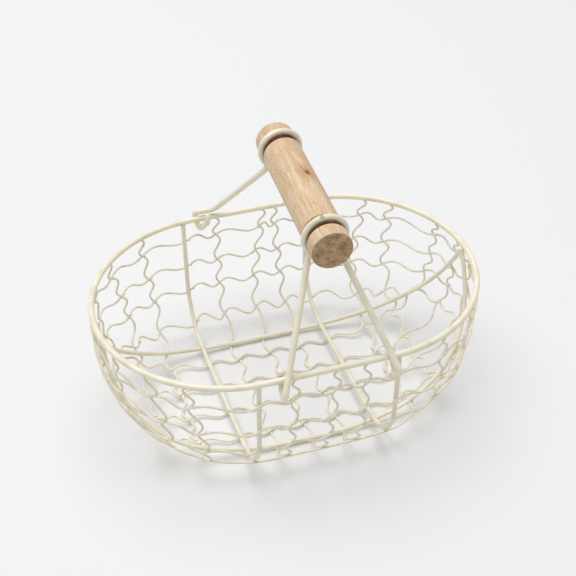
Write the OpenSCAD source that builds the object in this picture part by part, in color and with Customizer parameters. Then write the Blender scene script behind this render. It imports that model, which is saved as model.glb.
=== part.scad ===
// Egg collection basket: an oval bowl of welded wire netting on a heavy rim wire and four ribs,
// carried by a turned wooden grip that hangs in two hooked wire bails.
// Millimetres, +Z up, +X along the length. The origin is on the table under the rim's centre.

/* [Basket frame] */
// length of the rim between the centres of its wire
rim_len = 250; // [244:1:262]
// width of the rim between the centres of its wire
rim_w = 170; // [168:1:174]
// height of the rim wire's centre above the table
rim_z = 93.6; // [90:0.2:97]
// diameter of the rim wire
rim_wire = 4; // [3.8:0.1:4.2]
// diameter of the rib wire
rib_wire = 3; // [2.8:0.1:3.1]
// distance from the basket's centre to each cross rib
rib_x = 44; // [43:0.5:48]
// turn of the cross ribs about the vertical, as welded
rib_skew = 1.5; // [0:0.1:2]
// distance from the centre line to each long rib on the floor
long_rib_y = 52.4; // [50:0.2:55]

/* [Netting] */
// diameter of the netting wire
net_wire = 1.4; // [1.2:0.1:1.5]
// height of the waves crimped into the netting wires
wave = 2.4; // [1:0.1:2.6]
// how far crossing wires sink into each other at a weld
weld_sink = 0.12; // [0:0.02:0.2]

/* [Handle] */
// diameter of the bail wire
bail_wire = 4; // [3.8:0.1:4.1]
// distance of the grip from the basket's centre, along the length
grip_x = 9.7; // [6:0.1:10]
// height of the grip's axis above the rim's centre
grip_rise = 69; // [64:1:76]
// length of the wooden grip
grip_len = 124; // [116:1:128]
// turn of the grip about the vertical, front end to the left
grip_yaw = 1.85; // [0:0.05:2]
// diameter of the wooden grip
grip_d = 25.2; // [24.4:0.1:26]
// distance from the grip's middle to each wire loop
loop_y = 48; // [47.6:0.1:48.2]
// radius of a wire loop's centre line
loop_r = 12.8; // [12.6:0.1:13]

/* [Hidden] */
$fn = 48;
// the rim is two half rings joined by two straight sides
end_r = rim_w / 2;
side_x = rim_len / 2 - end_r;
// places along the rim where the [left, right] legs cross it, in front and at the back
front_hooks = [-27.3, 37.8];
back_hooks = [-25, 32.5];
// hook wire's distance from the rim's centre, with 0.45 of clearance
hook_r = rim_wire / 2 + bail_wire / 2 + 0.45;
// how far a hook's eye reaches past the rim before it turns back
hook_drop = 6.5;
// length of the foot that lies along the rim before the back left eye
back_foot = 13;
// the loops stand this far above the grip's axis, and this far back of the grip's middle
loop_lift = 0.8;
loop_back = 0.3;
loop_sweep = 130;
neck_step = 2.4;
neck_drop = 4.5;
groove_r = 9.2;
groove_y = 47.5;
groove_w = 9.8;
grip_edge = 0.8;
// netting surface: floor height, and the layer offsets of crossing wires
net_floor = net_wire / 2;
net_deep = rim_z - net_floor;
layer = net_wire - weld_sink;
long_rib_z = net_wire + rib_wire / 2 - 0.1;
// the cross ribs lie on the long ribs, which have already begun to rise where they meet
cross_rib_z = long_rib_z + rib_wire + 1.95;
// the netting's floor is pressed flat under the long ribs by up to this much
floor_press = 3.2;
// share of the basket's depth at which each wall ring runs, at the middle of the sides
ring_depth = [0.178, 0.41, 0.62, 0.845];
// cross wires: [place on the back rim, on the floor, on the front rim] along the length
cross_at = [[-105.5, -94, -103], [-79.5, -73, -84], [-24.5, -24, -21], [9, 0, 5],
    [17.5, 22, 24], [80.5, 73, 78], [96, 94, 103]];
// length wires: [place on the rim, place on the floor] across the width
length_at = [[-33, -37], [-11, -12.3], [11, 12.3], [33, 37]];
steps = 4;
cream = [0.93, 0.9, 0.8];
wood = [0.82, 0.67, 0.48];

function unit(v) = v / norm(v);
function mix(a, b, t) = a + (b - a) * t;
function ease(t) = let(c = min(max(t, 0), 1)) c * c * (3 - 2 * c);

// ---- bent wire of exact rods and bends through a list of corners ----
function turn(a, b, c) = acos(min(1, unit(b - a) * unit(c - b)));
function tangent_len(p, r, i) = r[i] * tan(turn(p[i - 1], p[i], p[i + 1]) / 2);

module placed(x, y, z, o) {
    multmatrix([[x.x, y.x, z.x, o.x], [x.y, y.y, z.y, o.y], [x.z, y.z, z.z, o.z], [0, 0, 0, 1]])
        children();
}

module rod(a, u, len, d) {
    side = unit(cross(abs(u.z) < 0.9 ? [0, 0, 1] : [1, 0, 0], u));
    placed(side, cross(u, side), u, a) cylinder(d = d, h = len);
}

module bend(a, b, c, r, d) {
    u = unit(b - a);
    t = turn(a, b, c);
    axis = unit(cross(u, unit(c - b)));
    out = cross(u, axis);
    start = b - u * r * tan(t / 2);
    placed(out, u, axis, start - out * r)
        rotate_extrude(angle = t) translate([r, 0]) circle(d = d);
}

module wire(p, r, d) {
    last = len(p) - 1;
    for (i = [0:last - 1]) {
        u = unit(p[i + 1] - p[i]);
        from = i == 0 ? 0 : tangent_len(p, r, i);
        to = i == last - 1 ? 0 : tangent_len(p, r, i + 1);
        run = norm(p[i + 1] - p[i]) - from - to;
        if (run > 0.02)
            rod(p[i] + u * from, u, run, d);
        translate(p[i] + u * from) sphere(d = d + 0.06);
        if (i < last - 1)
            translate(p[i + 1] - u * to) sphere(d = d + 0.06);
    }
    for (i = [1:1:last - 1])
        bend(p[i - 1], p[i], p[i + 1], r[i], d);
}

// ---- the same bent wire as a faceted tube, for a shape whose exact bends crowd each other ----
function bend_points(a, b, c, r) =
    r <= 0 ? [b] :
    let(u = unit(b - a), t = turn(a, b, c), out = cross(u, unit(cross(u, unit(c - b)))))
    let(centre = b - u * r * tan(t / 2) - out * r, n = max(2, ceil(t / 7.5)))
    [for (i = [0:n]) centre + r * (out * cos(t * i / n) + u * sin(t * i / n))];
function bent(p, r) =
    let(last = len(p) - 1)
    concat([p[0]], [for (i = [1:last - 1]) each bend_points(p[i - 1], p[i], p[i + 1], r[i])],
        [p[last]]);
function square_to(v, t) = unit(v - t * (v * t));

module tube(p, d, sides) {
    n = len(p);
    way = [for (i = [0:n - 1]) unit(p[min(i + 1, n - 1)] - p[max(i - 1, 0)])];
    frame = [for (i = 0, s = square_to([0, 1, 0], way[0]); i < n;
        i = i + 1, s = i < n ? square_to(s, way[i]) : s) s];
    pts = [for (i = [0:n - 1], k = [0:sides - 1])
        let(w = 360 * k / sides)
        p[i] + (frame[i] * cos(w) + cross(way[i], frame[i]) * sin(w)) * d / 2];
    walls = [for (i = [0:n - 2], k = [0:sides - 1])
        let(m = (k + 1) % sides)
        [i * sides + m, i * sides + k, (i + 1) * sides + k, (i + 1) * sides + m]];
    polyhedron(points = pts, faces = concat(walls, [[for (k = [0:sides - 1]) k],
        [for (k = [sides - 1:-1:0]) (n - 1) * sides + k]]));
}

// ---- netting surface: rim outline above, flat floor below, one closed curve between them ----
function outline_scale(x, y) =
    let(ax = abs(x), ay = abs(y))
    ax * end_r <= side_x * ay ? ay / end_r :
    let(q = ax * ax + ay * ay, m = side_x * ax)
    q / (m + sqrt(max(0, m * m - q * (side_x * side_x - end_r * end_r))));
function square_of(x) = 4.25 - 0.95 * pow(min(1, abs(x) / (rim_len / 2)), 2);
function excess(x, y, depth) =
    let(e = square_of(x))
    pow(outline_scale(x, y), e) + pow(depth / net_deep, e) - 1;
// distance from the centre of the mouth to the surface, along a plan direction and a dip angle
function reach(o, dir, dip, lo = 0, hi = 200, n = 22) =
    n == 0 ? (lo + hi) / 2 :
    let(m = (lo + hi) / 2, p = o + dir * (m * cos(dip)))
    excess(p.x, p.y, m * sin(dip)) > 0 ? reach(o, dir, dip, lo, m, n - 1)
                                       : reach(o, dir, dip, m, hi, n - 1);
// the floor is flat between the long ribs, and eases into the walls outside them
function settled(p) =
    let(flat = (1 - ease((abs(p.y) - 50) / 22)) * (1 - ease((abs(p.x) - 20) / 80)))
    [p.x, p.y, p.z - flat * min(p.z - net_floor, floor_press)];
function on_net(o, dir, dip) =
    let(s = reach(o, dir, dip), p = o + dir * (s * cos(dip)))
    settled([p.x, p.y, rim_z - s * sin(dip)]);

// swept wire through a list of points, closed into a ring or with two flat ends
module sweep(p, d, sides, ring = false) {
    n = len(p);
    pts = [for (i = [0:n - 1])
        let(a = p[ring ? (i + n - 1) % n : max(i - 1, 0)])
        let(b = p[ring ? (i + 1) % n : min(i + 1, n - 1)])
        let(t = unit(b - a), o = unit([p[i].x, p[i].y, p[i].z - rim_z * 0.6]))
        let(s = unit(cross(t, o)), q = cross(s, t))
        for (k = [0:sides - 1])
            let(w = 360 * (k + 0.5) / sides)
            p[i] + (s * cos(w) + q * sin(w)) * d / 2];
    spans = ring ? n : n - 1;
    walls = [for (i = [0:spans - 1], k = [0:sides - 1])
        let(j = (i + 1) % n, m = (k + 1) % sides)
        [i * sides + k, i * sides + m, j * sides + m, j * sides + k]];
    ends = ring ? [] : [[for (k = [sides - 1:-1:0]) k],
        [for (k = [0:sides - 1]) (n - 1) * sides + k]];
    polyhedron(points = pts, faces = concat(walls, ends));
}
module net_line(p, ring = false) {
    sweep(p, net_wire, 6, ring);
}

// dip angle at which a wire of the given plane passes a share of the basket's depth
function depth_at(k, x) =
    ring_depth[k] * (1 - 0.3 * pow(min(1, abs(x) / (rim_len / 2)), 5));
function dip_to(o, dir, k, lo = 0, hi = 89, n = 20) =
    n == 0 ? (lo + hi) / 2 :
    let(m = (lo + hi) / 2, p = on_net(o, dir, m))
    rim_z - p.z > net_deep * depth_at(k, p.x) ? dip_to(o, dir, k, lo, m, n - 1)
                                              : dip_to(o, dir, k, m, hi, n - 1);
// dip angle at which it passes a place on the floor, measured from the plane's middle
function dip_floor(far) = atan2(net_deep, far);

// a cross wire drops down the back wall, crosses the floor and climbs the front wall
function cross_x(c, dip, side) = mix(side < 0 ? c[2] : c[0], c[1], ease(dip / 50));
function cross_point(c, dip, shift) =
    let(side = dip > 90 ? -1 : 1, a = side < 0 ? 180 - dip : dip)
    on_net([cross_x(c, a, side) + shift, 0], [0, side], min(a, 89.9));
function cross_knots(c) =
    let(half = [for (side = [1, -1]) concat([1.2],
        [for (k = [0:3]) dip_to([cross_x(c, 20 * k + 5, side), 0], [0, side], k)],
        [dip_floor(37), dip_floor(12.3)])])
    concat(half[0], [for (i = [6:-1:0]) 180 - half[1][i]]);
module cross_wire(c) {
    knots = cross_knots(c);
    p = [for (i = [0:len(knots) - 2], s = [0:steps - 1])
        cross_point(c, mix(knots[i], knots[i + 1], s / steps), wave * sin(360 * s / steps))];
    net_line(concat(p, [cross_point(c, knots[len(knots) - 1], 0)]));
}

// a length wire drops down the left wall, runs along the floor over the cross wires and
// climbs the right wall
function length_y(c, dip) = mix(c[0], c[1], ease(dip / 50));
function length_point(c, dip, shift) =
    let(side = dip > 90 ? 1 : -1, a = side > 0 ? 180 - dip : dip)
    let(y = length_y(c, a) + shift, p = on_net([0, y], [side, 0], min(a, 89.9)))
    p + [0, 0, layer * ease((a - 32) / 12)];
function length_knots(c) =
    let(wall = [for (k = [0:3]) dip_to([0, c[0]], [1, 0], k)])
    let(half = concat([1.2], wall, [for (x = [94, 73, 45, 23]) dip_floor(x)]))
    concat(half, [90], [for (i = [8:-1:0]) 180 - half[i]]);
module length_wire(c) {
    knots = length_knots(c);
    p = [for (i = [0:len(knots) - 2], s = [0:steps - 1])
        length_point(c, mix(knots[i], knots[i + 1], s / steps), wave * sin(360 * s / steps))];
    net_line(concat(p, [length_point(c, knots[len(knots) - 1], 0)]));
}

// a wall ring follows the rim's outline at one depth, outside the wires that it crosses
function outline(s) =
    let(half = PI * end_r, q = 2 * side_x)
    s < q ? [s - side_x, -end_r] :
    s < q + half ? [side_x, 0] + end_r * [sin((s - q) / half * 180), -cos((s - q) / half * 180)] :
    s < 2 * q + half ? [side_x - (s - q - half), end_r] :
    [-side_x, 0] - end_r * [sin((s - 2 * q - half) / half * 180),
        -cos((s - 2 * q - half) / half * 180)];
function place_of(x) =
    let(ax = abs(x))
    ax <= side_x ? side_x + x :
    let(arc = asin((ax - side_x) / end_r) * PI / 180 * end_r)
    x > 0 ? 2 * side_x + arc : -arc;
function end_place(y) = 2 * side_x + PI * end_r / 2 + asin(y / end_r) * PI / 180 * end_r;
function ring_knots(k) =
    let(full = 4 * side_x + 2 * PI * end_r, d = ring_depth[k])
    let(g = pow(1 - pow(d, 4.1), 1 / 4.1), ge = pow(1 - pow(d * 0.78, 3.4), 1 / 3.4))
    let(xs = [for (side = [-1, 1]) let(c = [for (w = cross_at) cross_x(w, 90 * d, side)])
        [c[0] / ge, c[1] / g, -rib_x / g, c[2] / g, c[3] / g, c[4] / g, rib_x / g,
        c[5] / g, c[6] / ge]])
    let(ys = [for (c = length_at) length_y(c, 60 * d) / ge])
    let(front = [for (x = xs[0]) place_of(min(x, 0.999 * rim_len / 2))])
    let(right = [for (y = ys) end_place(y)])
    let(back = [for (i = [8:-1:0]) 2 * side_x + PI * end_r + 2 * side_x - place_of(xs[1][i])])
    let(left = [for (y = ys) end_place(y) + 2 * side_x + PI * end_r])
    concat(front, right, back, left, [front[0] + full]);
function ring_point(k, s, shift) =
    let(full = 4 * side_x + 2 * PI * end_r, q = outline(s < 0 ? s + full : s % full))
    let(e = square_of(q.x), d = depth_at(k, q.x) + shift / net_deep)
    let(g = pow(1 - pow(d, e), 1 / e), x = q.x - (q.x > 0 ? 1 : -1) * min(abs(q.x), side_x))
    let(n = unit([x * pow(g, e - 1), q.y * pow(g, e - 1), -end_r * pow(d, e - 1)]))
    settled([q.x * g, q.y * g, rim_z - net_deep * d]) + n * layer;
module wall_ring(k) {
    knots = ring_knots(k);
    net_line([for (i = [0:len(knots) - 2], s = [0:steps - 1])
        let(at = mix(knots[i], knots[i + 1], s / steps), back = i > 10 && i < 22 ? 1 : -1)
        ring_point(k, at, back * wave * sin(360 * s / steps))], ring = true);
}

// ---- frame ----
module rim() {
    color(cream) for (s = [-1, 1]) {
        translate([-side_x, s * end_r, rim_z]) rotate([0, 90, 0])
            cylinder(d = rim_wire, h = 2 * side_x);
        translate([s * side_x, 0, rim_z]) rotate([0, 0, -90 * s])
            rotate_extrude(angle = 180) translate([end_r, 0]) circle(d = rim_wire);
    }
}

// a cross rib is a U of wire: down the back wall, over the long ribs, up the front wall
module cross_rib(x) {
    top_y = end_r - 1.4;
    low_y = end_r - 3.6;
    top = rim_z - 1.6;
    color(cream) translate([x, 0, 0]) rotate([0, 0, rib_skew])
        wire([[0, top_y, top], [0, low_y, cross_rib_z], [0, -low_y, cross_rib_z],
            [0, -top_y, top]], [0, 35, 35, 0], rib_wire);
}

// a long rib lies in a slanted plane: from one end of the rim, along the floor, to the other
module long_rib(side) {
    half = rim_len / 2 - 2.3;
    drop = rim_z - 1 - long_rib_z;
    bow = 2 / 2.68;
    color(cream) sweep([for (t = [0:3.75:180])
        let(x = half * sign(90 - t) * pow(abs(cos(t)), bow), low = pow(max(sin(t), 0), bow))
        [x, side * long_rib_y * low, rim_z - 1 - drop * low]], rib_wire, 14);
}

// ---- handle ----
// a bail is one wire: eye, leg, loop over the grip, leg, eye. side is -1 in front, 1 at the back
module bail(side, hooks, feet) {
    axle = [side * end_r, rim_z];
    loop_at = side * loop_y + loop_back;
    mid = [grip_x + loop_at * tan(grip_yaw), loop_at, rim_z + grip_rise + loop_lift];
    color(cream) {
        placed([1, 0, 0], [0, 0, 1], [0, -1, 0], mid) rotate([0, 0, 90 - loop_sweep])
            rotate_extrude(angle = 2 * loop_sweep) translate([loop_r, 0])
                circle(d = bail_wire);
        for (h = [0, 1]) {
            s = h == 0 ? -1 : 1;
            start = mid + loop_r * [s * sin(loop_sweep), 0, cos(loop_sweep)];
            tip = start + neck_step * [s * cos(loop_sweep), 0, -sin(loop_sweep)];
            hip = tip + unit([(hooks[h] - tip.x) * 0.32, 0, -18]) * neck_drop;
            v = [side * (axle.x - hip.y), hip.z - axle.y];
            lean = atan2(v.x, v.y) + asin(hook_r / norm(v));
            up = [-side * sin(lean), cos(lean)];
            out = [side * cos(lean), sin(lean)];
            eye = function(x, w, n) [x, axle.x + up.x * w + out.x * n,
                axle.y + up.y * w + out.y * n];
            low = -hook_drop - hook_r;
            slope = (hooks[h] - hip.x) / sqrt(v * v - hook_r * hook_r);
            shape = feet[h] > 0 ?
                [eye(hooks[h], 3.4, hook_r * 0.84), eye(hooks[h] + s * feet[h], 2.6, hook_r),
                eye(hooks[h] + s * (feet[h] - 1), low, hook_r),
                eye(hooks[h] + s * (feet[h] - 3), low, -hook_r),
                eye(hooks[h] + s * (feet[h] - 7), hook_r, -hook_r),
                eye(hooks[h] + s * (feet[h] - 7), hook_r, 0.6)] :
                [eye(hooks[h] - slope * low, low, hook_r),
                eye(hooks[h] + s * 2.7, low, -hook_r),
                eye(hooks[h] + s * 2.2, hook_r, -hook_r),
                eye(hooks[h] + s * 2.2, hook_r, 0.6)];
            bow = norm(tip - start) / tan(turn(start, tip, hip) / 2);
            path = concat([start, tip, hip], shape);
            bends = concat([0, bow * 0.98, 5], feet[h] > 0 ? [9, 3.4] : [],
                [1, 1, 0.92, 0] * (hook_r * 0.96));
            if (feet[h] > 0) {
                translate(start) sphere(d = bail_wire + 0.06);
                tube(bent(path, bends), bail_wire, 16);
            } else
                wire(path, bends, bail_wire);
        }
    }
}

module grip() {
    half = grip_len / 2;
    r = grip_d / 2;
    low = groove_y - groove_w / 2;
    high = groove_y + groove_w / 2;
    color(wood) translate([grip_x, 0, rim_z + grip_rise]) rotate([90, 0, -grip_yaw])
        rotate_extrude() polygon([[0, -half], [r - grip_edge, -half], [r, -half + grip_edge],
            [r, -high], [groove_r, -high], [groove_r, -low], [r, -low], [r, low],
            [groove_r, low], [groove_r, high], [r, high], [r, half - grip_edge],
            [r - grip_edge, half], [0, half]]);
}

rim();
cross_rib(-rib_x - 1.7);  // rib_left
cross_rib(rib_x - 1.6);  // rib_right
long_rib(-1);  // long_rib_front
long_rib(1);  // long_rib_back
color(cream) wall_ring(0);  // wall_ring_1
color(cream) wall_ring(1);  // wall_ring_2
color(cream) wall_ring(2);  // wall_ring_3
color(cream) wall_ring(3);  // wall_ring_4
color(cream) cross_wire(cross_at[0]);  // cross_wire_1
color(cream) cross_wire(cross_at[1]);  // cross_wire_2
color(cream) cross_wire(cross_at[2]);  // cross_wire_3
color(cream) cross_wire(cross_at[3]);  // cross_wire_4
color(cream) cross_wire(cross_at[4]);  // cross_wire_5
color(cream) cross_wire(cross_at[5]);  // cross_wire_6
color(cream) cross_wire(cross_at[6]);  // cross_wire_7
color(cream) length_wire(length_at[0]);  // length_wire_1
color(cream) length_wire(length_at[1]);  // length_wire_2
color(cream) length_wire(length_at[2]);  // length_wire_3
color(cream) length_wire(length_at[3]);  // length_wire_4
bail(-1, front_hooks, [0, 0]);  // front_bail
bail(1, back_hooks, [back_foot, 0]);  // back_bail
grip();
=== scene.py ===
"""Egg collection basket: welded, crimped wire netting on a rim and ribs, with a turned wooden grip in
two wire bails. Every piece is made where it sits in the part's frame, so nothing is moved afterwards."""
import math

import bmesh
import bpy
from mathutils import Matrix, Vector


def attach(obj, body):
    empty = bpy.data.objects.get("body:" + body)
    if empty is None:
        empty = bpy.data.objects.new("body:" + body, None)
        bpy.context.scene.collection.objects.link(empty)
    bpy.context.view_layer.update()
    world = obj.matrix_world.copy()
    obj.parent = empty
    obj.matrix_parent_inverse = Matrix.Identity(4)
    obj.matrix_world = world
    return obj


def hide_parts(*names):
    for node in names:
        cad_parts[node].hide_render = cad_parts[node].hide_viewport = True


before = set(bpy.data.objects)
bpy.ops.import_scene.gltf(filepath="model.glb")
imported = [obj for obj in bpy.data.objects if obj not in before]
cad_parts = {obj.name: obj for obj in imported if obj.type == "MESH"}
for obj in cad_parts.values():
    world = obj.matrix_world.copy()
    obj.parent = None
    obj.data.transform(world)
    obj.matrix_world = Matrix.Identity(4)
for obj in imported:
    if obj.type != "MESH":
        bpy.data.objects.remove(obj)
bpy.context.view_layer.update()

MM = 0.001

# ---------------------------------------------------------------------------------------------
# Rim hoop: one length of 4 mm drawn steel wire bent to a long oval and butt-welded into a ring.
# Like all of the basket's steel it is dipped or sprayed with a cream powder coat and baked.
# ---------------------------------------------------------------------------------------------
RIM_HALF_WIDTH = 85.0
RIM_SIDE_HALF = 40.0
RIM_HALF_LENGTH = RIM_HALF_WIDTH + RIM_SIDE_HALF
RIM_HEIGHT = 93.6
RIM_WIRE = 4.0


def linear(hex_colour):
    """sRGB hex to the linear colour that shaders take."""
    parts = [int(hex_colour[i:i + 2], 16) / 255 for i in (1, 3, 5)]
    return tuple(c / 12.92 if c <= 0.04045 else ((c + 0.055) / 1.055) ** 2.4 for c in parts) + (1.0,)


def add_node(material, kind, settings=(), **links):
    """Adds one node. Settings are properties, input values by name or number, or a ramp's stops;
    links feed inputs by name, or by number after an underscore."""
    tree = material.node_tree
    made = tree.nodes.new(kind)
    for name, value in dict(settings).items():
        if name == "stops":
            elements = made.color_ramp.elements
            while len(elements) < len(value):
                elements.new(0.5)
            for element, (at, colour) in zip(elements, value):
                element.position, element.color = at, linear(colour)
        elif isinstance(name, int) or name in made.inputs:
            made.inputs[name].default_value = value
        else:
            setattr(made, name, value)
    for name, source in links.items():
        key = int(name[1:]) if name[0] == "_" else name.replace("_", " ")
        tree.links.new(source, made.inputs[key])
    return made


def new_material(name):
    """A material with an empty node tree but its shader and output, and where its points are."""
    material = bpy.data.materials.new(name)
    material.use_nodes = True
    shader = material.node_tree.nodes["Principled BSDF"]
    place = add_node(material, "ShaderNodeTexCoord").outputs["Object"]
    return material, shader, place


CHIP_SIZE = 1.5


def powder_coat(name, mottle_mm, peel_mm, peel_depth_mm, dusty, chip=None):
    """Polyester powder coat baked on steel: satin, faintly mottled where it ran thick or thin, with
    the fine orange peel of melted powder. chip is a place where it has flaked off the wire."""
    material, shader, place = new_material(name)
    mottle = add_node(material, "ShaderNodeTexNoise",
                      {"Scale": 1 / (mottle_mm * MM), "Detail": 3.0}, Vector=place)
    colour = add_node(material, "ShaderNodeValToRGB",
                      {"stops": [(0.30, dusty), (0.52, "#EFE8D1"), (0.75, "#F4EEDB")]},
                      Fac=mottle.outputs["Fac"]).outputs["Color"]
    if chip:
        near = add_node(material, "ShaderNodeMapping",
                        {"Location": tuple(-c / CHIP_SIZE for c in chip),
                         "Scale": (1 / (CHIP_SIZE * MM),) * 3},
                        Vector=place)
        ragged = add_node(material, "ShaderNodeTexNoise", {"Scale": 1.6}, Vector=near.outputs[0])
        far = add_node(material, "ShaderNodeVectorMath", {"operation": "LENGTH"},
                       Vector=near.outputs[0])
        edge = add_node(material, "ShaderNodeMath", {"operation": "MULTIPLY_ADD", 1: -0.9},
                        _0=ragged.outputs["Fac"], _2=far.outputs["Value"])
        flake = add_node(material, "ShaderNodeValToRGB",
                         {"stops": [(0.0, "#B9B3A2"), (0.25, "#8E8775"), (0.38, "#5B5344"),
                                    (0.5, "#EFE8D1")]}, Fac=edge.outputs["Value"])
        bare = add_node(material, "ShaderNodeMapRange",
                        {"From Min": 0.5, "From Max": 0.38, "To Min": 0.0, "To Max": 1.0},
                        Value=edge.outputs["Value"])
        colour = add_node(material, "ShaderNodeMix", {"data_type": "RGBA"}, _6=colour,
                          _7=flake.outputs["Color"], _0=bare.outputs["Result"]).outputs[2]
    peel = add_node(material, "ShaderNodeTexNoise",
                    {"Scale": 1 / (peel_mm * MM), "Detail": 1.0}, Vector=place)
    bump = add_node(material, "ShaderNodeBump", {"Strength": 0.35, "Distance": peel_depth_mm * MM},
                    Height=peel.outputs["Fac"])
    gloss = add_node(material, "ShaderNodeMapRange",
                     {"From Min": 0.3, "From Max": 0.7, "To Min": 0.30, "To Max": 0.44},
                     Value=mottle.outputs["Fac"])
    links = material.node_tree.links
    links.new(colour, shader.inputs["Base Color"])
    links.new(gloss.outputs["Result"], shader.inputs["Roughness"])
    links.new(bump.outputs["Normal"], shader.inputs["Normal"])
    shader.inputs["IOR"].default_value = 1.5
    shader.inputs["Coat Weight"].default_value = 0.12
    shader.inputs["Coat Roughness"].default_value = 0.22
    return material


def bent(corners, bends, step=math.radians(5)):
    """The centre line of a wire bent at each inner corner round a given radius."""
    corners = [Vector(c) for c in corners]
    path = [corners[0]]
    for before, corner, after, radius in zip(corners, corners[1:], corners[2:], bends):
        u, v = (corner - before).normalized(), (after - corner).normalized()
        angle = u.angle(v)
        if radius <= 0 or angle < 1e-3:
            path.append(corner)
            continue
        out = u.cross(u.cross(v)).normalized()
        centre = corner - u * radius * math.tan(angle / 2) - out * radius
        count = max(2, round(angle / step))
        path += [centre + radius * (out * math.cos(angle * i / count) + u * math.sin(angle * i / count))
                 for i in range(count + 1)]
    return path + [corners[-1]]


def wire_piece(name, path, thickness, material, closed=False, sides=16, swell=None):
    """A round wire along a path in millimetres. swell gives its thickness along its length."""
    curve = bpy.data.curves.new(name, "CURVE")
    curve.dimensions = "3D"
    curve.bevel_depth = thickness / 2 * MM
    curve.bevel_resolution = (sides - 4) // 2
    curve.use_fill_caps = not closed
    curve.twist_mode = "MINIMUM"
    spline = curve.splines.new("POLY")
    spline.points.add(len(path) - 1)
    spline.use_cyclic_u = closed
    run = 0.0
    lengths = [0.0]
    for a, b in zip(path, path[1:]):
        run += (Vector(b) - Vector(a)).length
        lengths.append(run)
    for point, at, along in zip(spline.points, path, lengths):
        point.co = (*(Vector(at) * MM), 1.0)
        point.radius = swell(along, run) if swell else 1.0
    drawn = bpy.data.objects.new(name + "_line", curve)
    bpy.context.scene.collection.objects.link(drawn)
    bpy.context.view_layer.update()
    mesh = bpy.data.meshes.new_from_object(drawn.evaluated_get(bpy.context.evaluated_depsgraph_get()))
    bpy.data.objects.remove(drawn)
    return mesh_piece(name, mesh, material)


def mesh_piece(name, mesh, *materials):
    """A piece from a mesh: doubles merged, faces outward and shaded smooth between sharp edges."""
    work = bmesh.new()
    work.from_mesh(mesh)
    bmesh.ops.remove_doubles(work, verts=work.verts, dist=1e-6)
    bmesh.ops.recalc_face_normals(work, faces=work.faces)
    for face in work.faces:
        face.smooth = True
    for edge in work.edges:
        edge.smooth = edge.calc_face_angle(0.0) < math.radians(50)
    work.to_mesh(mesh)
    work.free()
    for material in materials:
        mesh.materials.append(material)
    piece = bpy.data.objects.new(name, mesh)
    bpy.context.scene.collection.objects.link(piece)
    return piece


def part_of(piece, body, slot, *replaced):
    """The piece moves with a body and stands for the given CAD nodes; slot is not used."""
    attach(piece, body)
    if replaced:
        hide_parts(*replaced)


def rim_point(angle, side):
    return (side * (RIM_SIDE_HALF + RIM_HALF_WIDTH * math.cos(angle)),
            side * RIM_HALF_WIDTH * math.sin(angle), RIM_HEIGHT)


frame_coat = powder_coat("cream_powder_coat_on_frame", 9.0, 0.8, 0.05, "#E6DDC3")
half_turn = [math.radians(a) for a in range(-90, 91, 3)]
rim_path = [rim_point(a, 1) for a in half_turn] + [rim_point(a, -1) for a in half_turn]
rim_hoop = wire_piece("rim_hoop", rim_path, RIM_WIRE, frame_coat, closed=True, sides=20)
part_of(rim_hoop, "basket", "frame_wire", "rim")

# ---------------------------------------------------------------------------------------------
# Cross ribs: two U-shaped 3 mm wires. Each is butted under the rim's inner side, drops down the back
# wall, lies on top of the long ribs across the floor and climbs the front wall to the rim.
# ---------------------------------------------------------------------------------------------
RIB_WIRE = 3.0
LONG_RIB_HEIGHT = 2.8
CROSS_RIB_HEIGHT = 7.75
CROSS_RIBS = {"left": -45.7, "right": 42.4}
CROSS_RIB_SKEW = math.radians(1.5)
CROSS_RIB_BEND = 35.0
RIB_TOP_INSET = 1.4
RIB_LOW_INSET = 3.6
RIB_TOP_DROP = 1.6


def weld_flare(reach, extra):
    """Thickness of a wire that widens into a weld fillet at both of its ends."""
    def thickness(along, run):
        near = min(along, run - along)
        return 1 + extra * max(0.0, 1 - near / reach) ** 2
    return thickness


def with_ends(path, reach, count=6):
    """The same path with close points near both ends, so that a weld fillet can be shaped there."""
    def filled(a, b):
        span = (b - a).length
        return [a + (b - a) * min(1, reach * i / count / span) for i in range(count + 1)]
    return filled(path[0], path[1]) + path[1:-1] + filled(path[-1], path[-2])[::-1]


def rib_corners(x):
    """The four corners of a rib from the back rim to the front rim, turned a little as welded."""
    turn = Vector((math.cos(CROSS_RIB_SKEW), math.sin(CROSS_RIB_SKEW)))
    top, low = RIM_HALF_WIDTH - RIB_TOP_INSET, RIM_HALF_WIDTH - RIB_LOW_INSET
    high = RIM_HEIGHT - RIB_TOP_DROP
    places = [(top, high), (low, CROSS_RIB_HEIGHT), (-low, CROSS_RIB_HEIGHT), (-top, high)]
    return [(x - y * turn.y, y * turn.x, z) for y, z in places]


for which, x in CROSS_RIBS.items():
    rib_path = with_ends(bent(rib_corners(x), [CROSS_RIB_BEND] * 2), 5.0)
    rib = wire_piece("cross_rib_" + which, rib_path, RIB_WIRE, frame_coat, sides=16,
                     swell=weld_flare(4.5, 0.28))
    part_of(rib, "basket", "frame_wire", "rib_" + which)

# ---------------------------------------------------------------------------------------------
# Long ribs: two 3 mm wires that start together under one end of the rim, part as they go down, run
# along the floor outside the cross ribs and meet again at the other end.
# ---------------------------------------------------------------------------------------------
LONG_RIB_SPREAD = 52.4
LONG_RIB_FULLNESS = 2 / 2.68
LONG_RIB_REACH = RIM_HALF_LENGTH - 2.3
LONG_RIB_TOP = RIM_HEIGHT - 1.0


def mix(a, b, t):
    return a + (b - a) * t


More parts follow.
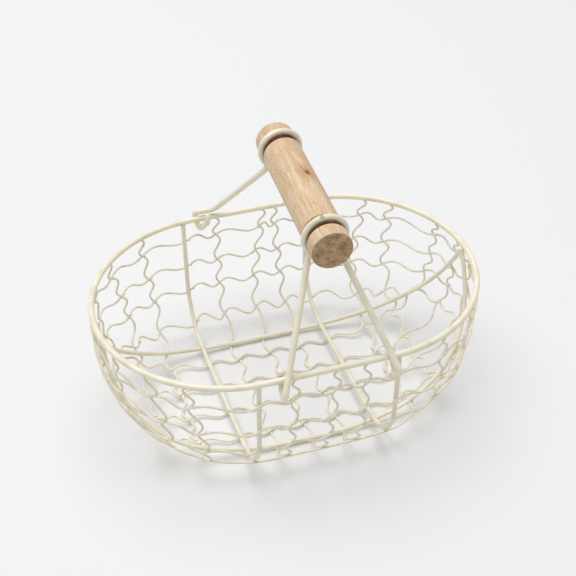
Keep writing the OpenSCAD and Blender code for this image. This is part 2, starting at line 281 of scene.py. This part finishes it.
def long_rib_path(side):
    """A flattened half ellipse in a plane that leans out from the line between the rim's ends."""
    path = []
    for i in range(145):
        t = math.radians(i * 1.25)
        low = max(math.sin(t), 0.0) ** LONG_RIB_FULLNESS
        along = math.copysign(abs(math.cos(t)) ** LONG_RIB_FULLNESS, math.cos(t))
        path.append(Vector((along * LONG_RIB_REACH, side * LONG_RIB_SPREAD * low,
                            mix(LONG_RIB_TOP, LONG_RIB_HEIGHT, low))))
    return path


for which, side in (("front", -1), ("back", 1)):
    long_rib = wire_piece("long_rib_wire_" + which, with_ends(long_rib_path(side), 5.0), RIB_WIRE,
                          frame_coat, sides=16, swell=weld_flare(4.5, 0.22))
    part_of(long_rib, "basket", "frame_wire", "long_rib_" + which)

# ---------------------------------------------------------------------------------------------
# Netting: 1.4 mm soft steel wires crimped into waves and spot-welded where they cross. Seven go
# across the basket, four along it, and four closed rings go round its walls on the outside.
# ---------------------------------------------------------------------------------------------
NET_WIRE = 1.4
NET_FLOOR = NET_WIRE / 2
NET_DEEP = RIM_HEIGHT - NET_FLOOR
NET_LAYER = NET_WIRE - 0.12
NET_COATED = NET_WIRE + 0.12
NET_WAVE = 2.4
FLOOR_PRESS = 3.2
FLAT_ACROSS, FLAT_ACROSS_FADE = 50.0, 22.0
FLAT_ALONG, FLAT_ALONG_FADE = 20.0, 80.0
RING_DEPTHS = [0.178, 0.41, 0.62, 0.845]
RING_END_RISE = 0.3
CROSS_RIB_PLACE = 44.0
CROSS_WIRES = [(-105.5, -94, -103), (-79.5, -73, -84), (-24.5, -24, -21), (9, 0, 5), (17.5, 22, 24),
               (80.5, 73, 78), (96, 94, 103)]
LENGTH_WIRES = [(-33, -37), (-11, -12.3), (11, 12.3), (33, 37)]
WAVE_SAMPLES = 12


def ease(t):
    t = min(max(t, 0.0), 1.0)
    return t * t * (3 - 2 * t)


def outline_scale(x, y):
    """How far out a point lies towards the rim's outline, 0 at the centre and 1 on it."""
    x, y = abs(x), abs(y)
    if x * RIM_HALF_WIDTH <= RIM_SIDE_HALF * y:
        return y / RIM_HALF_WIDTH
    q = x * x + y * y
    m = RIM_SIDE_HALF * x
    return q / (m + math.sqrt(max(0.0, m * m - q * (RIM_SIDE_HALF ** 2 - RIM_HALF_WIDTH ** 2))))


def wall_squareness(x):
    """How square the wall's curve is from rim to floor: boxier along the sides than at the ends."""
    return 4.25 - 0.95 * min(1.0, abs(x) / RIM_HALF_LENGTH) ** 2


def settled(p):
    """The floor is flat between the long ribs, and eases into the walls outside them."""
    flat = ((1 - ease((abs(p.y) - FLAT_ACROSS) / FLAT_ACROSS_FADE))
            * (1 - ease((abs(p.x) - FLAT_ALONG) / FLAT_ALONG_FADE)))
    return Vector((p.x, p.y, p.z - flat * min(p.z - NET_FLOOR, FLOOR_PRESS)))


def on_net(origin, way, dip):
    """The netting's surface, seen from the mouth along a plan direction and a dip in degrees."""
    low, high = 0.0, 200.0
    c, s = math.cos(math.radians(dip)), math.sin(math.radians(dip))
    for _ in range(34):
        m = (low + high) / 2
        x, y = origin[0] + way[0] * m * c, origin[1] + way[1] * m * c
        e = wall_squareness(x)
        if outline_scale(x, y) ** e + (m * s / NET_DEEP) ** e > 1:
            high = m
        else:
            low = m
    return settled(Vector((origin[0] + way[0] * m * c, origin[1] + way[1] * m * c,
                           RIM_HEIGHT - m * s)))


def ring_depth(k, x):
    """The share of the basket's depth at which a ring runs. It rises towards the basket's ends."""
    return RING_DEPTHS[k] * (1 - RING_END_RISE * min(1.0, abs(x) / RIM_HALF_LENGTH) ** 5)


def dip_to_ring(origin, way, k):
    """The dip at which a wire crosses a ring."""
    low, high = 0.0, 89.0
    for _ in range(26):
        m = (low + high) / 2
        p = on_net(origin, way, m)
        if RIM_HEIGHT - p.z > NET_DEEP * ring_depth(k, p.x):
            high = m
        else:
            low = m
    return m


def dip_to_floor(far):
    """The dip at which a wire passes a place on the floor."""
    return math.degrees(math.atan2(NET_DEEP, far))


def wavy(knots, point):
    """A crimped wire: one full wave from each knot to the next, passing through every knot."""
    path = []
    last = len(knots) - 1
    for i in range(last):
        before = knots[i - 1] if i else 2 * knots[0] - knots[1]
        after = knots[i + 2] if i < last - 1 else 2 * knots[last] - knots[last - 1]
        a, b = knots[i], knots[i + 1]
        for s in range(WAVE_SAMPLES):
            t = s / WAVE_SAMPLES
            at = 0.5 * (2 * a + (b - before) * t + (2 * before - 5 * a + 4 * b - after) * t * t
                        + (3 * a - before - 3 * b + after) * t ** 3)
            path.append(point(at, NET_WAVE * math.sin(2 * math.pi * t)))
    return path


def cross_wire_x(wire, dip, side):
    """Each wire's place on the back rim, on the floor and on the front rim, eased between them."""
    return mix(wire[2] if side < 0 else wire[0], wire[1], ease(dip / 50))


def cross_wire_path(wire):
    """Down the back wall, over the floor and up the front wall; also the places of its welds."""
    def point(dip, shift):
        side, a = (-1, 180 - dip) if dip > 90 else (1, dip)
        return on_net((cross_wire_x(wire, a, side) + shift, 0), (0, side), min(a, 89.9))
    back, front = ([1.2] + [dip_to_ring((cross_wire_x(wire, 20 * k + 5, side), 0), (0, side), k)
                            for k in range(4)] + [dip_to_floor(37), dip_to_floor(12.3)]
                   for side in (1, -1))
    knots = back + [180 - a for a in reversed(front)]
    return wavy(knots, point) + [point(knots[-1], 0)], [point(a, 0) for a in knots]


def length_wire_y(wire, dip):
    return mix(wire[0], wire[1], ease(dip / 50))


def length_wire_path(wire):
    """Down the left wall, along the floor over the cross wires and up the right wall."""
    def point(dip, shift):
        side, a = (1, 180 - dip) if dip > 90 else (-1, dip)
        p = on_net((0, length_wire_y(wire, a) + shift), (side, 0), min(a, 89.9))
        return p + Vector((0, 0, NET_LAYER * ease((a - 32) / 12)))
    half = [1.2] + [dip_to_ring((0, wire[0]), (1, 0), k) for k in range(4)]
    half += [dip_to_floor(x) for x in (94, 73, 45, 23)]
    knots = half + [90] + [180 - a for a in reversed(half)]
    return wavy(knots, point) + [point(knots[-1], 0)]


STRAIGHT = 2 * RIM_SIDE_HALF
END_ARC = math.pi * RIM_HALF_WIDTH
RIM_ROUND = 2 * STRAIGHT + 2 * END_ARC
SIDE_SQUARENESS = 4.1
END_SQUARENESS = 3.4
END_DEPTH = 0.78


def on_outline(s):
    """The rim's outline in plan, by distance run from the front left end of its straight side."""
    s %= RIM_ROUND
    if s < STRAIGHT:
        return s - RIM_SIDE_HALF, -RIM_HALF_WIDTH
    if s < STRAIGHT + END_ARC:
        a = (s - STRAIGHT) / RIM_HALF_WIDTH
        return RIM_SIDE_HALF + RIM_HALF_WIDTH * math.sin(a), -RIM_HALF_WIDTH * math.cos(a)
    x, y = on_outline(s - STRAIGHT - END_ARC)
    return -x, -y


def front_place(x):
    """The distance along the outline at which its front half passes a place on the length."""
    if abs(x) <= RIM_SIDE_HALF:
        return RIM_SIDE_HALF + x
    arc = math.asin((abs(x) - RIM_SIDE_HALF) / RIM_HALF_WIDTH) * RIM_HALF_WIDTH
    return STRAIGHT + arc if x > 0 else -arc


def ring_path(k):
    """Once round the walls, with a knot at each wire and rib it crosses; also the welds there."""
    depth = RING_DEPTHS[k]
    g = (1 - depth ** SIDE_SQUARENESS) ** (1 / SIDE_SQUARENESS)
    end_g = (1 - (depth * END_DEPTH) ** END_SQUARENESS) ** (1 / END_SQUARENESS)

    def places(side):
        xs = [cross_wire_x(wire, 90 * depth, side) for wire in CROSS_WIRES]
        xs = ([xs[0] / end_g, xs[1] / g, -CROSS_RIB_PLACE / g] + [x / g for x in xs[2:5]]
              + [CROSS_RIB_PLACE / g, xs[5] / g, xs[6] / end_g])
        return [front_place(min(x, 0.999 * RIM_HALF_LENGTH)) for x in xs]

    ends = [math.asin(length_wire_y(wire, 60 * depth) / end_g / RIM_HALF_WIDTH) * RIM_HALF_WIDTH
            for wire in LENGTH_WIRES]
    knots = places(-1)
    knots += [STRAIGHT + END_ARC / 2 + e for e in ends]
    knots += [2 * STRAIGHT + END_ARC - at for at in reversed(places(1))]
    knots += [2 * STRAIGHT + 1.5 * END_ARC + e for e in ends]

    def point(s, shift):
        x, y = on_outline(s)
        e = wall_squareness(x)
        d = ring_depth(k, x) + shift / NET_DEEP
        scale = (1 - d ** e) ** (1 / e)
        bulge = x - math.copysign(min(abs(x), RIM_SIDE_HALF), x)
        out = Vector((bulge * scale ** (e - 1), y * scale ** (e - 1),
                      -RIM_HALF_WIDTH * d ** (e - 1))).normalized()
        wall = settled(Vector((x * scale, y * scale, RIM_HEIGHT - NET_DEEP * d)))
        return wall + out * NET_LAYER, out

    count = len(knots)
    path, crossings = [], []
    for i in range(count):
        lap = [knots[(i + j) % count] + RIM_ROUND * ((i + j) // count) for j in (-1, 0, 1, 2)]
        way = 1 if 10 < i < 22 else -1
        crossings.append(point(lap[1], 0))
        for s in range(WAVE_SAMPLES):
            t = s / WAVE_SAMPLES
            before, a, b, after = lap
            at = 0.5 * (2 * a + (b - before) * t + (2 * before - 5 * a + 4 * b - after) * t * t
                        + (3 * a - before - 3 * b + after) * t ** 3)
            path.append(point(at, way * NET_WAVE * math.sin(2 * math.pi * t))[0])
    return path, crossings


net_coat = powder_coat("cream_powder_coat_on_netting", 5.0, 0.7, 0.04, "#E2D9C0")
floor_crossings = []
for i, wire in enumerate(CROSS_WIRES):
    path, crossings = cross_wire_path(wire)
    floor_crossings += [p for p in crossings[5:9]]
    piece = wire_piece(f"net_cross_{i + 1}", path, NET_COATED, net_coat, sides=10)
    part_of(piece, "basket", "netting_wire", f"cross_wire_{i + 1}")
for i, wire in enumerate(LENGTH_WIRES):
    piece = wire_piece(f"net_length_{i + 1}", length_wire_path(wire), NET_COATED, net_coat, sides=10)
    part_of(piece, "basket", "netting_wire", f"length_wire_{i + 1}")
wall_crossings = []
for k in range(4):
    path, crossings = ring_path(k)
    wall_crossings += crossings
    piece = wire_piece(f"net_ring_{k + 1}", path, NET_COATED, net_coat, closed=True, sides=10)
    part_of(piece, "basket", "netting_wire", f"wall_ring_{k + 1}")

# ---------------------------------------------------------------------------------------------
# Spot welds: where two netting wires cross they are pressed and fused, and the powder bridges the
# joint with a small smooth fillet.
# ---------------------------------------------------------------------------------------------
WELD_WIDE = 1.15
WELD_THICK = 1.1


def weld_beads(name, beads, material):
    """One piece holding many small beads: place, out direction, half width and half thickness."""
    work = bmesh.new()
    for place, out, wide, thick in beads:
        made = bmesh.ops.create_icosphere(work, subdivisions=2, radius=1.0)["verts"]
        turn = Vector((0, 0, 1)).rotation_difference(out).to_matrix()
        for vert in made:
            vert.co = (turn @ Vector((vert.co.x * wide, vert.co.y * wide, vert.co.z * thick))
                       + Vector(place)) * MM
    mesh = bpy.data.meshes.new(name)
    work.to_mesh(mesh)
    work.free()
    return mesh_piece(name, mesh, material)


beads = [(p - out * NET_LAYER / 2, out, WELD_WIDE, WELD_THICK) for p, out in wall_crossings]
beads += [(p + Vector((0, 0, NET_LAYER / 2)), Vector((0, 0, 1)), WELD_WIDE, WELD_THICK)
          for p in floor_crossings]
part_of(weld_beads("netting_spot_welds", beads, net_coat), "basket", "netting_wire")

# ---------------------------------------------------------------------------------------------
# Bails: each is one 4 mm wire. Its middle is bent into an open loop that lies in the grip's groove,
# and its two legs run down and out to eyes that are closed loosely round the rim.
# ---------------------------------------------------------------------------------------------
BAIL_WIRE = 4.0
GRIP_X = 9.7
GRIP_HEIGHT = RIM_HEIGHT + 69
GRIP_YAW = math.radians(1.85)
LOOP_Y = 48.0
LOOP_BACK = 0.3
LOOP_RADIUS = 12.8
LOOP_LIFT = 0.8
LOOP_SWEEP = math.radians(130)
NECK_STEP = 2.4
NECK_DROP = 4.5
HOOK_GAP = RIM_WIRE / 2 + BAIL_WIRE / 2 + 0.45
EYE_LOW = -6.5 - HOOK_GAP
EYE_ROUND = 0.96 * HOOK_GAP
EYE_END = 0.6
FOOT_BENDS = [9.0, 3.4]
CHIP = (5.6, -48.7, 178.0)
BAILS = {"front": (-1, (-27.3, 37.8), (0, 0)), "back": (1, (-25.0, 32.5), (13, 0))}


def rounded_ends(along, run):
    """Powder rounds off the cut ends of the wire."""
    near = min(along, run - along)
    return math.sqrt(max(0.16, 1 - max(0.0, 1 - near / 0.9) ** 2))


def loop_middle(side):
    """The centre of a bail's loop, on the grip's line."""
    y = side * LOOP_Y + LOOP_BACK
    return Vector((GRIP_X + y * math.tan(GRIP_YAW), y, GRIP_HEIGHT + LOOP_LIFT))


def leg_path(side, hand, rim_x, foot):
    """One leg from the end of the loop's arc to the cut end of its eye."""
    middle = loop_middle(side)
    start = middle + LOOP_RADIUS * Vector((hand * math.sin(LOOP_SWEEP), 0, math.cos(LOOP_SWEEP)))
    tip = start + NECK_STEP * Vector((hand * math.cos(LOOP_SWEEP), 0, -math.sin(LOOP_SWEEP)))
    hip = tip + Vector(((rim_x - tip.x) * 0.32, 0, -18)).normalized() * NECK_DROP
    vx, vz = side * (side * RIM_HALF_WIDTH - hip.y), hip.z - RIM_HEIGHT
    far = math.hypot(vx, vz)
    lean = math.atan2(vx, vz) + math.asin(HOOK_GAP / far)
    up = Vector((0, -side * math.sin(lean), math.cos(lean)))
    out = Vector((0, side * math.cos(lean), math.sin(lean)))

    def eye(x, high, outward):
        return Vector((x, side * RIM_HALF_WIDTH, RIM_HEIGHT)) + up * high + out * outward

    if foot:
        shape = [eye(rim_x, 3.4, HOOK_GAP * 0.84), eye(rim_x + hand * foot, 2.6, HOOK_GAP),
                 eye(rim_x + hand * (foot - 1), EYE_LOW, HOOK_GAP),
                 eye(rim_x + hand * (foot - 3), EYE_LOW, -HOOK_GAP),
                 eye(rim_x + hand * (foot - 7), HOOK_GAP, -HOOK_GAP),
                 eye(rim_x + hand * (foot - 7), HOOK_GAP, EYE_END)]
    else:
        slope = (rim_x - hip.x) / math.sqrt(far * far - HOOK_GAP ** 2)
        shape = [eye(rim_x - slope * EYE_LOW, EYE_LOW, HOOK_GAP),
                 eye(rim_x + hand * 2.7, EYE_LOW, -HOOK_GAP),
                 eye(rim_x + hand * 2.2, HOOK_GAP, -HOOK_GAP),
                 eye(rim_x + hand * 2.2, HOOK_GAP, EYE_END)]
    bow = (tip - start).length / math.tan((tip - start).angle(hip - tip) / 2)
    bends = [bow * 0.98, 5] + (FOOT_BENDS if foot else []) + [EYE_ROUND, EYE_ROUND, 0.92 * EYE_ROUND]
    return bent([start, tip, hip] + shape, bends)


bail_coats = {"front": powder_coat("cream_powder_coat_chipped", 11.0, 0.8, 0.05, "#E7DEC5", chip=CHIP),
              "back": powder_coat("cream_powder_coat_on_bail", 11.0, 0.8, 0.05, "#E7DEC5")}
for which, (side, crossing, feet) in BAILS.items():
    arc = [loop_middle(side) + LOOP_RADIUS * Vector((math.sin(a), 0, math.cos(a)))
           for a in [LOOP_SWEEP * i / 40 for i in range(-39, 40)]]
    left = leg_path(side, -1, crossing[0], feet[0])
    right = leg_path(side, 1, crossing[1], feet[1])
    bail_path = with_ends(left[::-1] + arc + right, 1.0)
    bail = wire_piece("bail_" + which, bail_path, BAIL_WIRE, bail_coats[which], sides=20,
                      swell=rounded_ends)
    part_of(bail, which + "_bail", "bail_wire", which + "_bail")

# ---------------------------------------------------------------------------------------------
# Grip: rubberwood turned on a lathe, with a groove near each end painted dark as shade, and its edges
# eased with sandpaper. The bails' loops lie in the grooves and the grip can rock in them.
# ---------------------------------------------------------------------------------------------
GRIP_HALF = 62.0
GRIP_RADIUS = 12.6
GROOVE_RADIUS = 9.2
GROOVE_Y = 47.5
GROOVE_HALF = 4.9


def rounded(corners, radii, steps=5):
    """A turned profile with each corner eased: (distance from the axis, distance along it)."""
    flat = bent([Vector((r, y, 0)) for r, y in corners], radii, math.radians(90 / steps))
    return [(p.x, p.y) for p in flat]


def turned(name, profile, steps, materials, pick):
    """A profile spun round the grip's axis, with each face's material picked by its place."""
    work = bmesh.new()
    verts = [work.verts.new(((GRIP_X + r) * MM, y * MM, GRIP_HEIGHT * MM)) for r, y in profile]
    edges = [work.edges.new(pair) for pair in zip(verts, verts[1:])]
    bmesh.ops.spin(work, geom=verts + edges, cent=(GRIP_X * MM, 0, GRIP_HEIGHT * MM), axis=(0, 1, 0),
                   angle=2 * math.pi, steps=steps, use_merge=True)
    bmesh.ops.remove_doubles(work, verts=work.verts, dist=1e-6)
    for face in work.faces:
        c = face.calc_center_median() / MM
        face.material_index = pick(math.hypot(c.x - GRIP_X, c.z - GRIP_HEIGHT), abs(c.y))
    bmesh.ops.rotate(work, verts=work.verts, cent=(GRIP_X * MM, 0, 0),
                     matrix=Matrix.Rotation(-GRIP_YAW, 3, "Z"))
    mesh = bpy.data.meshes.new(name)
    work.to_mesh(mesh)
    work.free()
    return mesh_piece(name, mesh, *materials)


half_profile = [(GRIP_RADIUS, 0.0), (GRIP_RADIUS, GROOVE_Y - GROOVE_HALF),
                (GROOVE_RADIUS, GROOVE_Y - GROOVE_HALF), (GROOVE_RADIUS, GROOVE_Y + GROOVE_HALF),
                (GRIP_RADIUS, GROOVE_Y + GROOVE_HALF), (GRIP_RADIUS, GRIP_HALF), (0.0, GRIP_HALF)]
half_bends = [0.5, 1.6, 1.6, 0.5, 1.0]
corners = [(r, -y) for r, y in reversed(half_profile)] + half_profile[1:]
grip_profile = rounded(corners, half_bends[::-1] + [0] + half_bends)


def grip_place(material, place, size):
    """Points measured from the grip's middle and along it, in units of sizes in millimetres."""
    centred = add_node(material, "ShaderNodeMapping",
                       {"Location": (-GRIP_X * math.cos(GRIP_YAW) * MM, -GRIP_X * math.sin(GRIP_YAW) * MM,
                                     -GRIP_HEIGHT * MM), "Rotation": (0, 0, GRIP_YAW)}, Vector=place)
    return add_node(material, "ShaderNodeMapping",
                    {"Scale": tuple(1 / (s * MM) for s in size)},
                    Vector=centred.outputs["Vector"]).outputs["Vector"]


KNOT = (4.0, 1.5, 12.0)


def rubberwood(name):
    """Rubberwood, sanded and lightly oiled: pale straw with tan growth bands along the grain, fine
    short pores, and one small pin knot whose grain has darkened round it."""
    material, shader, place = new_material(name)
    bands = add_node(material, "ShaderNodeTexNoise", {"Scale": 1.0, "Detail": 4.0, "Distortion": 0.6},
                     Vector=grip_place(material, place, (5.0, 60.0, 5.0)))
    streaks = add_node(material, "ShaderNodeTexNoise", {"Scale": 1.0, "Detail": 3.0},
                       Vector=grip_place(material, place, (0.9, 14.0, 0.9)))
    both = add_node(material, "ShaderNodeMix", {0: 0.4}, _2=bands.outputs["Fac"],
                    _3=streaks.outputs["Fac"])
    grain = add_node(material, "ShaderNodeValToRGB",
                     {"stops": [(0.30, "#C09B72"), (0.43, "#D1B18A"), (0.55, "#DDC3A1"),
                                (0.72, "#EEDDC5")]}, Fac=both.outputs[0])
    pores = add_node(material, "ShaderNodeTexNoise", {"Scale": 1.0, "Detail": 1.0},
                     Vector=grip_place(material, place, (0.45, 3.2, 0.45)))
    pore_mask = add_node(material, "ShaderNodeMapRange",
                         {"From Min": 0.60, "From Max": 0.74, "To Min": 0.0, "To Max": 0.6},
                         Value=pores.outputs["Fac"])
    pored = add_node(material, "ShaderNodeMix", {"data_type": "RGBA", 7: linear("#94683F")},
                     _0=pore_mask.outputs["Result"], _6=grain.outputs["Color"])
    knot_place = add_node(material, "ShaderNodeMapping",
                          {"Location": (-(GRIP_X + KNOT[0]) * MM, -KNOT[1] * MM,
                                        -(GRIP_HEIGHT + KNOT[2]) * MM)}, Vector=place)
    knot_size = add_node(material, "ShaderNodeMapping",
                         {"Scale": (1 / (1.9 * MM), 1 / (3.6 * MM), 1 / (1.9 * MM))},
                         Vector=knot_place.outputs["Vector"])
    knot_far = add_node(material, "ShaderNodeVectorMath", {"operation": "LENGTH"},
                        Vector=knot_size.outputs["Vector"])
    knot_edge = add_node(material, "ShaderNodeMath", {"operation": "MULTIPLY_ADD", 1: 1.6},
                         _0=streaks.outputs["Fac"], _2=knot_far.outputs["Value"])
    halo = add_node(material, "ShaderNodeMapRange",
                    {"From Min": 4.4, "From Max": 1.5, "To Min": 0.0, "To Max": 0.7},
                    Value=knot_edge.outputs["Value"])
    warm = add_node(material, "ShaderNodeMix", {"data_type": "RGBA", 7: linear("#B98049")},
                    _0=halo.outputs["Result"], _6=pored.outputs[2])
    core = add_node(material, "ShaderNodeMapRange",
                    {"From Min": 1.75, "From Max": 1.2, "To Min": 0.0, "To Max": 0.9},
                    Value=knot_edge.outputs["Value"])
    knotted = add_node(material, "ShaderNodeMix", {"data_type": "RGBA", 7: linear("#6B4223")},
                       _0=core.outputs["Result"], _6=warm.outputs[2])
    height = add_node(material, "ShaderNodeMath", {"operation": "MULTIPLY_ADD", 1: -0.6},
                      _0=pore_mask.outputs["Result"], _2=streaks.outputs["Fac"])
    bump = add_node(material, "ShaderNodeBump", {"Strength": 0.5, "Distance": 0.12 * MM},
                    Height=height.outputs["Value"])
    links = material.node_tree.links
    links.new(knotted.outputs[2], shader.inputs["Base Color"])
    links.new(bump.outputs["Normal"], shader.inputs["Normal"])
    shader.inputs["Roughness"].default_value = 0.55
    shader.inputs["IOR"].default_value = 1.5
    return material


def end_grain(name):
    """The sawn and sanded ends: open pores drink the oil, so they are much browner and blotched,
    with only a trace of growth rings."""
    material, shader, place = new_material(name)
    rings = add_node(material, "ShaderNodeTexWave",
                     {"wave_type": "RINGS", "rings_direction": "Y", "Scale": 0.9, "Distortion": 5.0,
                      "Detail": 2.0, "Detail Scale": 0.6},
                     Vector=grip_place(material, place, (9.0, 30.0, 7.0)))
    blotch = add_node(material, "ShaderNodeTexNoise", {"Scale": 1.0, "Detail": 4.0},
                      Vector=grip_place(material, place, (3.2, 3.2, 3.2)))
    both = add_node(material, "ShaderNodeMix", {0: 0.93}, _2=rings.outputs["Fac"],
                    _3=blotch.outputs["Fac"])
    colour = add_node(material, "ShaderNodeValToRGB",
                      {"stops": [(0.25, "#84674A"), (0.42, "#A3845F"), (0.58, "#B89A73"),
                                 (0.8, "#CDB490")]}, Fac=both.outputs[0])
    pits = add_node(material, "ShaderNodeTexNoise", {"Scale": 1 / (0.5 * MM), "Detail": 1.0},
                    Vector=place)
    bump = add_node(material, "ShaderNodeBump", {"Strength": 0.6, "Distance": 0.15 * MM},
                    Height=pits.outputs["Fac"])
    links = material.node_tree.links
    links.new(colour.outputs["Color"], shader.inputs["Base Color"])
    links.new(bump.outputs["Normal"], shader.inputs["Normal"])
    shader.inputs["Roughness"].default_value = 0.75
    return material


def painted_groove_shade(name):
    """The groove's floor and walls, painted dark red-brown with turning marks as painted shade in the
    recess.
    """
    material, shader, place = new_material(name)
    turn_marks = add_node(material, "ShaderNodeTexNoise", {"Scale": 1.0, "Detail": 3.0},
                          Vector=grip_place(material, place, (6.0, 0.7, 6.0)))
    # painted shade: the groove's ramp runs through dark red-browns that stand for the shade in the recess
    colour = add_node(material, "ShaderNodeValToRGB",
                      {"stops": [(0.3, "#54301A"), (0.5, "#774524"), (0.7, "#965E36")]},
                      Fac=turn_marks.outputs["Fac"])
    bump = add_node(material, "ShaderNodeBump", {"Strength": 0.5, "Distance": 0.15 * MM},
                    Height=turn_marks.outputs["Fac"])
    links = material.node_tree.links
    links.new(colour.outputs["Color"], shader.inputs["Base Color"])
    links.new(bump.outputs["Normal"], shader.inputs["Normal"])
    shader.inputs["Roughness"].default_value = 0.7
    return material


def grip_face(far, along):
    """0 long grain, 1 end grain, 2 groove painted dark as shade."""
    if along > GRIP_HALF - 0.3:
        return 1
    if far < GRIP_RADIUS - 0.55 and along < GROOVE_Y + GROOVE_HALF + 0.5:
        return 2
    return 0


# The grooves take the painted-shade material, a dark colour standing for the shade in the recess.
grip = turned("turned_grip", grip_profile, 96, [
    rubberwood("oiled_rubberwood"), end_grain("rubberwood_end_grain"),
    painted_groove_shade("rubberwood_painted_shade")], grip_face)
part_of(grip, "grip", "wood", "grip")

# ---------------------------------------------------------------------------------------------
# Setting: a plain pale floor under a large soft light, and the camera in front, above and to the left.
# ---------------------------------------------------------------------------------------------
scene = bpy.context.scene
scene.view_settings.view_transform = "Standard"
floor_work = bmesh.new()
bmesh.ops.create_grid(floor_work, x_segments=1, y_segments=1, size=4.0)
floor_mesh = bpy.data.meshes.new("floor")
floor_work.to_mesh(floor_mesh)
floor_work.free()
floor = bpy.data.objects.new("floor", floor_mesh)
scene.collection.objects.link(floor)
floor_paint, floor_shader, _ = new_material("pale_card")
floor_shader.inputs["Base Color"].default_value = linear("#E7E7E7")
floor_shader.inputs["Roughness"].default_value = 0.8
floor_mesh.materials.append(floor_paint)


softbox = bpy.data.lights.new("overhead_softbox", "AREA")
softbox.shape = "DISK"
softbox.size = 3.6
softbox.energy = 98.0
softbox_stand = bpy.data.objects.new("overhead_softbox", softbox)
softbox_stand.location = (-0.4, 0.5, 3.2)
softbox_aim = Vector((0, 0, 0.06)) - softbox_stand.location
softbox_stand.rotation_euler = softbox_aim.to_track_quat("-Z", "Y").to_euler()
scene.collection.objects.link(softbox_stand)
world = bpy.data.worlds.new("studio")
scene.world = world
world.use_nodes = True
world.node_tree.nodes["Background"].inputs["Color"].default_value = linear("#FBFCFF")
world.node_tree.nodes["Background"].inputs["Strength"].default_value = 0.43

camera_data = bpy.data.cameras.new("camera")
camera_data.sensor_width = 36.0
camera_data.lens = 71.83
camera = bpy.data.objects.new("camera", camera_data)
camera.location = (-0.17392, -0.54601, 0.55830)
camera.rotation_mode = "QUATERNION"
camera.rotation_quaternion = Vector((0.2361, 0.7369, -0.6334)).to_track_quat("-Z", "Y")
scene.collection.objects.link(camera)
scene.camera = camera
